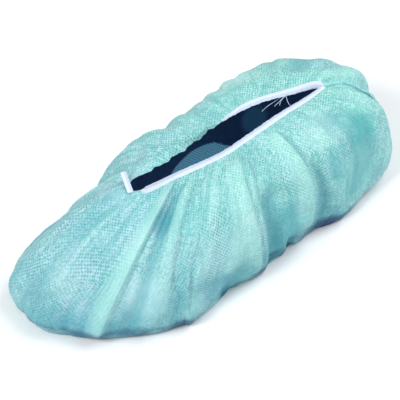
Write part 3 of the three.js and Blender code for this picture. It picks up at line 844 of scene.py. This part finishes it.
elastic, wire = started("ribbed_elastic")
tape_map = wire.node("ShaderNodeUVMap", {"uv_map": "tape"}, {})
ribs = (tape_map.axis(0) * (2 * math.pi / rib_pitch)).cos()
fuzz = wire.here().noise(700, 3, 0.6)
band = tape_map.axis(1).step(0.0020, 0.0030)
tape_colour = band.blend(shade_of(198, 213, 234), shade_of(224, 233, 245))
tape_colour = (ribs.step(-0.2, 0.9) * 0.22).blend(tape_colour, shade_of(176, 196, 226))
tape_colour = (fuzz.step(0.45, 0.75) * 0.3).blend(tape_colour, shade_of(236, 243, 250))
relief = wire.node("ShaderNodeBump", {}, {
    "Strength": 0.7, "Distance": 0.00025, "Height": ribs * 0.5 + fuzz * 0.6,
})
finished(wire, {"Base Color": tape_colour, "Roughness": 0.62, "Sheen Weight": 0.2, "Normal": relief})
binding.data.materials.append(elastic)
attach(binding, "root")
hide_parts("elastic_binding")


# The bar: a short cut length of the same tape, sewn straight across the toe end of the slit. Its near end
# lies on the slit's corner, and its far end on the front of the rolled edge.
bar_near = np.array([(0.313 - 0.5) * cover_length, -0.012 * cover_width, 0.940 * cover_height]) + to_frame
bar_far = np.array([(0.328 - 0.5) * cover_length, 0.102 * cover_width, 1.000 * cover_height]) + to_frame
bar_width = 0.0046
bar_sides = 6
bar_along = unit(bar_far - bar_near)
towards_toe = np.array([-1.0, 0, 0])
bar_across = unit(towards_toe - bar_along * (towards_toe @ bar_along))
bar_up = np.cross(bar_along, bar_across)
bar_up = bar_up * np.sign(bar_up[2])
bar_steps = 24
run_share = np.linspace(0, 1, bar_steps + 1)[:, None, None]
side_share = np.linspace(0, 1, bar_sides + 1)[None, :, None]
bar_points = bar_near + (bar_far - bar_near) * run_share + bar_across * bar_width * side_share
sag = -0.0003 * np.sin(np.pi * run_share) + 0.00012 * np.sin(np.pi * side_share)
bar_points = bar_points + bar_up * sag
bar_points[..., 2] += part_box("front_tape_bar")[1][2] - tape_thickness - bar_points[..., 2].max()
bar = strip("front_bar", bar_steps, bar_sides, bar_points, float(np.linalg.norm(bar_far - bar_near)))
facing_up(bar)
thickened(bar, tape_thickness, 0.0002)
bar.data.materials.append(elastic)
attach(bar, "root")
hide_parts("front_tape_bar")


# The heel seam: the two edges of the fabric pinched together and overlocked, from the slit's rear end
# down the back of the heel. It is a low ridge along the sheet's own seam, leaning a little to and fro.
seam_height = 0.0013
seam_half_width = 0.0015
stitch_pitch = 0.0024
seam_steps = 150
seam_sides = 8
seam_down = np.linspace(0.07, 0.86, seam_steps + 1)
seam_line = fabric(np.zeros(seam_steps + 1), seam_down) + to_frame
beside_seam = np.full(seam_steps + 1, 0.002)
seam_side = unit(fabric(beside_seam, seam_down) - fabric(-beside_seam, seam_down))
seam_fall = unit(np.gradient(seam_line, axis=0))
seam_out = unit(np.cross(seam_side, seam_fall))
seam_walk = np.concatenate([[0], np.cumsum(np.linalg.norm(np.diff(seam_line, axis=0), axis=1))])
lean = 0.0005 * np.sin(seam_walk * 2 * np.pi / 0.017) + 0.0003 * np.sin(seam_walk * 2 * np.pi / 0.0061)
tall = seam_height + 0.00035 * np.sin(seam_walk * 2 * np.pi / 0.0083 + 2)
profile = np.linspace(-1, 1, seam_sides + 1)
ridge = (1 - profile ** 2) ** 0.6
beside = profile[None, :] * seam_half_width + lean[:, None] * ridge[None, :]
above = 0.0001 + tall[:, None] * ridge[None, :]
seam_points = (
    seam_line[:, None, :]
    + seam_side[:, None, :] * beside[..., None]
    + seam_out[:, None, :] * above[..., None]
)
seam = strip("heel_seam_ridge", seam_steps, seam_sides, seam_points, float(seam_walk[-1]))
facing_up(seam)
thickened(seam, 0.0003, 0.0001)

overlocked, wire = started("overlocked_fabric")
seam_map = wire.node("ShaderNodeUVMap", {"uv_map": "tape"}, {})
stitch = (seam_map.axis(0) * (2 * math.pi / stitch_pitch)).cos().step(0.55, 0.85)
fuzz = wire.here().noise(500, 3, 0.6)
seam_colour = fuzz.step(0.3, 0.7).blend(shade_of(112, 190, 196), shade_of(164, 224, 224))
seam_colour = (stitch * 0.35).blend(seam_colour, shade_of(200, 232, 232))
relief = wire.node("ShaderNodeBump", {}, {
    "Strength": 0.6, "Distance": 0.0003, "Height": stitch * 0.6 + fuzz,
})
finished(wire, {"Base Color": seam_colour, "Roughness": 0.75, "Normal": relief})
seam.data.materials.append(overlocked)
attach(seam, "root")
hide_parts("heel_seam")


# The thread tails: white sewing thread, left long where the tape's stitches end at the slit's rear. Each
# is a fine round strand that lies loose over the opening, along a short listed route.
tails = [
    [
        (0.0965, 0.0105, 0.0935), (0.0890, 0.0090, 0.0925),
        (0.0815, 0.0075, 0.0915), (0.0750, 0.0060, 0.0910),
    ],
    [
        (0.0955, 0.0110, 0.0935), (0.0885, 0.0085, 0.0930),
        (0.0820, 0.0070, 0.0920), (0.0795, 0.0050, 0.0900),
    ],
    [
        (0.0945, 0.0110, 0.0930), (0.0850, 0.0110, 0.0905), (0.0745, 0.0110, 0.0895),
        (0.0690, 0.0105, 0.0890), (0.0650, 0.0095, 0.0885),
    ],
    [
        (0.0885, 0.0080, 0.0930), (0.0865, 0.0045, 0.0925),
        (0.0850, -0.0005, 0.0915), (0.0845, -0.0030, 0.0925),
    ],
]
thread_width = 0.0005
thread, wire = started("sewing_thread")
twist = wire.here().noise(1500, 2)
thread_colour = twist.step(0.3, 0.7).blend(shade_of(150, 170, 200), shade_of(208, 222, 238))
finished(wire, {"Base Color": thread_colour, "Roughness": 0.6})
for number, route in enumerate(tails, start=1):
    bpy.ops.object.select_all(action="DESELECT")
    bpy.ops.curve.primitive_nurbs_path_add()
    tail = bpy.context.object
    tail.name = f"thread_tail_{number}"
    line = tail.data.splines[0]
    stops = [route[0], *route, route[-1]]
    line.points.add(len(stops) - len(line.points))
    for point, stop in zip(line.points, stops):
        point.co = (*stop, 1)
    line.order_u = 3
    line.use_endpoint_u = True
    line.resolution_u = 8
    tail.data.bevel_depth = thread_width / 2
    tail.data.bevel_resolution = 2
    tail.data.use_fill_caps = True
    bpy.ops.object.convert(target="MESH")
    tail = bpy.context.object
    bpy.ops.object.shade_smooth()
    tail.data.materials.append(thread)
    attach(tail, "root")


# The floor and the light of a plain pale studio: one lamp from the toe's side and a soft one from above.
bpy.ops.object.select_all(action="DESELECT")
bpy.ops.mesh.primitive_plane_add(size=8)
floor = bpy.context.object
floor.name = "studio_floor"
pale, wire = started("studio_floor")
finished(wire, {"Base Color": shade_of(248, 249, 250), "Roughness": 0.9})
floor.data.materials.append(pale)

lamps = [
    # name, place, width, watts, colour
    ("key", (-1.25, -0.15, 1.35), 0.6, 18.4, (1.0, 1.0, 0.98)),
    ("above", (0.8, -0.5, 1.6), 1.2, 20, (1.0, 1.0, 1.0)),
]
for name, spot, width, watts, colour in lamps:
    bpy.ops.object.light_add(type="AREA", location=spot)
    lamp = bpy.context.object
    lamp.name = name
    lamp.data.size = width
    lamp.data.energy = watts
    lamp.data.color = colour
    lamp.rotation_euler = (Vector(spot) - Vector((0, 0, 0.04))).to_track_quat("Z", "Y").to_euler()
surround = bpy.data.worlds.new("pale_surround")
surround.use_nodes = True
surround.node_tree.nodes["Background"].inputs["Color"].default_value = (0.93, 0.96, 1.0, 1)
surround.node_tree.nodes["Background"].inputs["Strength"].default_value = 0.45
bpy.context.scene.world = surround
bpy.context.scene.view_settings.view_transform = "Standard"
